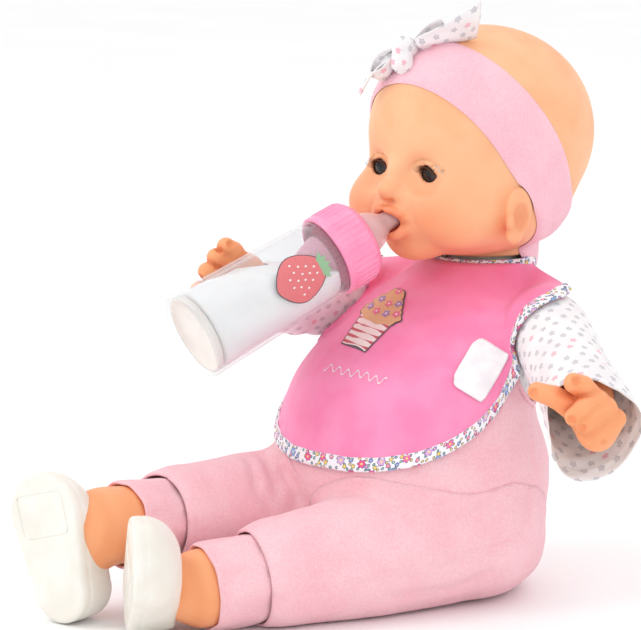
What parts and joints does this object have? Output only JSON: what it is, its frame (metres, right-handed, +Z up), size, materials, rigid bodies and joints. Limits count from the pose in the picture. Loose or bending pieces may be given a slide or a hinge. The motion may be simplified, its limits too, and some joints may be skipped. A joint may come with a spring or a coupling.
{
  "type": "interactive baby doll",
  "caption": "Seated soft-bodied baby doll with a vinyl head, limbs and shoes, clothes, a bib, a headband, sleeping eyes, a sound module and a drinking bottle at its mouth.",
  "frame": {"origin": "centre of the flat seat that the doll sits on", "axes": "the doll faces -Y, its left is +X, +Z is up; -Z points out of the seat"},
  "size_m": [0.2326, 0.3063, 0.2867],
  "materials": {
    "vinyl_skin": "matte moulded vinyl",
    "eye_acrylic": "polished",
    "eye_weight_metal": "plain",
    "headband_fleece": "knit fleece",
    "star_cotton": "woven cotton with small stars",
    "romper_fleece": "brushed fleece",
    "bib_satin": "satin",
    "bib_floral": "woven cotton with small flowers",
    "bib_label_tape": "smooth tape",
    "hook_and_loop": "looped",
    "body_cloth": "plain weave",
    "nylon_tie": "plain",
    "shoe_vinyl": "satin moulded vinyl",
    "bottle_clear": "clear",
    "bottle_milk_white": "plain",
    "cap_pink": "satin moulded",
    "nipple_silicone": "translucent",
    "module_plastic": "fine texture",
    "circuit_laminate": "solder mask",
    "speaker_paper": "paper cone",
    "cell_wrap": "foil wrap",
    "contact_metal": "plated",
    "button_plastic": "plain"
  },
  "bodies": {
    "torso": {"torso_body": "body_cloth", "romper_body": "romper_fleece", "shirt_body": "star_cotton", "bib_panel": "bib_satin", "bib_trim": "bib_floral", "bib_neck_band": "bib_floral", "bib_label": "bib_label_tape", "bib_fastener": "hook_and_loop", "neck_plug": "module_plastic", "neck_tie": "nylon_tie", "module_front_shell": "module_plastic", "module_rear_shell": "module_plastic", "circuit_board": "circuit_laminate", "speaker": "speaker_paper", "batteries": "cell_wrap", "battery_contacts": "contact_metal", "module_screws": "contact_metal"},
    "battery_cover": {"battery_cover": "module_plastic"},
    "power_switch": {"power_switch_knob": "button_plastic"},
    "tummy_button": {"tummy_button": "button_plastic"},
    "head": {"head_shell": "vinyl_skin", "eye_cup_left": "module_plastic", "eye_cup_right": "module_plastic", "mouth_switch_housing": "module_plastic", "headband": "headband_fleece", "headband_bow": "star_cotton"},
    "mouth_button": {"mouth_switch_plunger": "button_plastic"},
    "eye_right": {"eyeball_right": "eye_acrylic", "eye_weight_right": "eye_weight_metal"},
    "eye_left": {"eyeball_left": "eye_acrylic", "eye_weight_left": "eye_weight_metal"},
    "bottle": {"bottle_shell": "bottle_clear", "bottle_inner_tube": "bottle_clear", "bottle_milk": "bottle_milk_white", "bottle_base_plug": "bottle_clear", "bottle_cap_ring": "cap_pink", "bottle_nipple": "nipple_silicone"},
    "arm_left": {"upper_arm_left": "body_cloth", "forearm_left": "vinyl_skin", "sleeve_left": "star_cotton", "arm_tie_left": "nylon_tie"},
    "arm_right": {"upper_arm_right": "body_cloth", "forearm_right": "vinyl_skin", "sleeve_right": "star_cotton", "arm_tie_right": "nylon_tie"},
    "leg_left": {"thigh_left": "body_cloth", "lower_leg_left": "vinyl_skin", "leg_tie_left": "nylon_tie", "trouser_leg_left": "romper_fleece", "trouser_cuff_left": "romper_fleece", "shoe_left": "shoe_vinyl"},
    "leg_right": {"thigh_right": "body_cloth", "lower_leg_right": "vinyl_skin", "leg_tie_right": "nylon_tie", "trouser_leg_right": "romper_fleece", "trouser_cuff_right": "romper_fleece", "shoe_right": "shoe_vinyl"}
  },
  "joints": [
    {"name": "head_turn", "type": "hinge", "parent": "torso", "child": "head", "pos_m": [0, 0.048, 0.166], "axis": [0, 0, 1], "range_deg": [0, 50]},
    {"name": "bottle_pull", "type": "slide", "parent": "head", "child": "bottle", "axis": [-0.2834, -0.8652, -0.4136], "range_m": [0, 0.06]},
    {"name": "mouth_button_press", "type": "slide", "parent": "head", "child": "mouth_button", "axis": [0.2834, 0.8652, 0.4136], "range_m": [0, 0.001], "stiffness_N_per_m": 400},
    {"name": "eye_right_roll", "type": "hinge", "parent": "head", "child": "eye_right", "pos_m": [-0.02166, 0.00231, 0.2067], "axis": [0.9962, -0.0872, 0], "range_deg": [0, 60]},
    {"name": "eye_left_roll", "type": "hinge", "parent": "head", "child": "eye_left", "pos_m": [0.0134, -0.00075, 0.2067], "axis": [0.9962, -0.0872, 0], "range_deg": [0, 60]},
    {"name": "shoulder_left", "type": "hinge", "parent": "torso", "child": "arm_left", "pos_m": [0.058, 0.029, 0.13], "axis": [0.9563, 0, -0.2924], "range_deg": [-90, 15]},
    {"name": "shoulder_right", "type": "hinge", "parent": "torso", "child": "arm_right", "pos_m": [-0.06, 0.03, 0.13], "axis": [0.9563, 0, 0.2924], "range_deg": [-70, 0]},
    {"name": "hip_left", "type": "hinge", "parent": "torso", "child": "leg_left", "pos_m": [0.044, -0.008, 0.0316], "axis": [0.9438, -0.3305, 0], "range_deg": [-3, 80]},
    {"name": "hip_right", "type": "hinge", "parent": "torso", "child": "leg_right", "pos_m": [-0.044, -0.008, 0.0316], "axis": [0.9959, -0.0906, 0], "range_deg": [-3, 80]},
    {"name": "tummy_button_press", "type": "slide", "parent": "torso", "child": "tummy_button", "axis": [0, 1, 0], "range_m": [0, 0.0015], "stiffness_N_per_m": 500},
    {"name": "power_switch_slide", "type": "slide", "parent": "torso", "child": "power_switch", "axis": [0, 0, 1], "range_m": [0, 0.004]},
    {"name": "battery_cover_pull", "type": "slide", "parent": "torso", "child": "battery_cover", "axis": [0, 1, 0], "range_m": [0, 0.008]}
  ],
  "couplings": [
    {"joint": "eye_left_roll", "follows": "eye_right_roll", "ratio": 1}
  ]
}
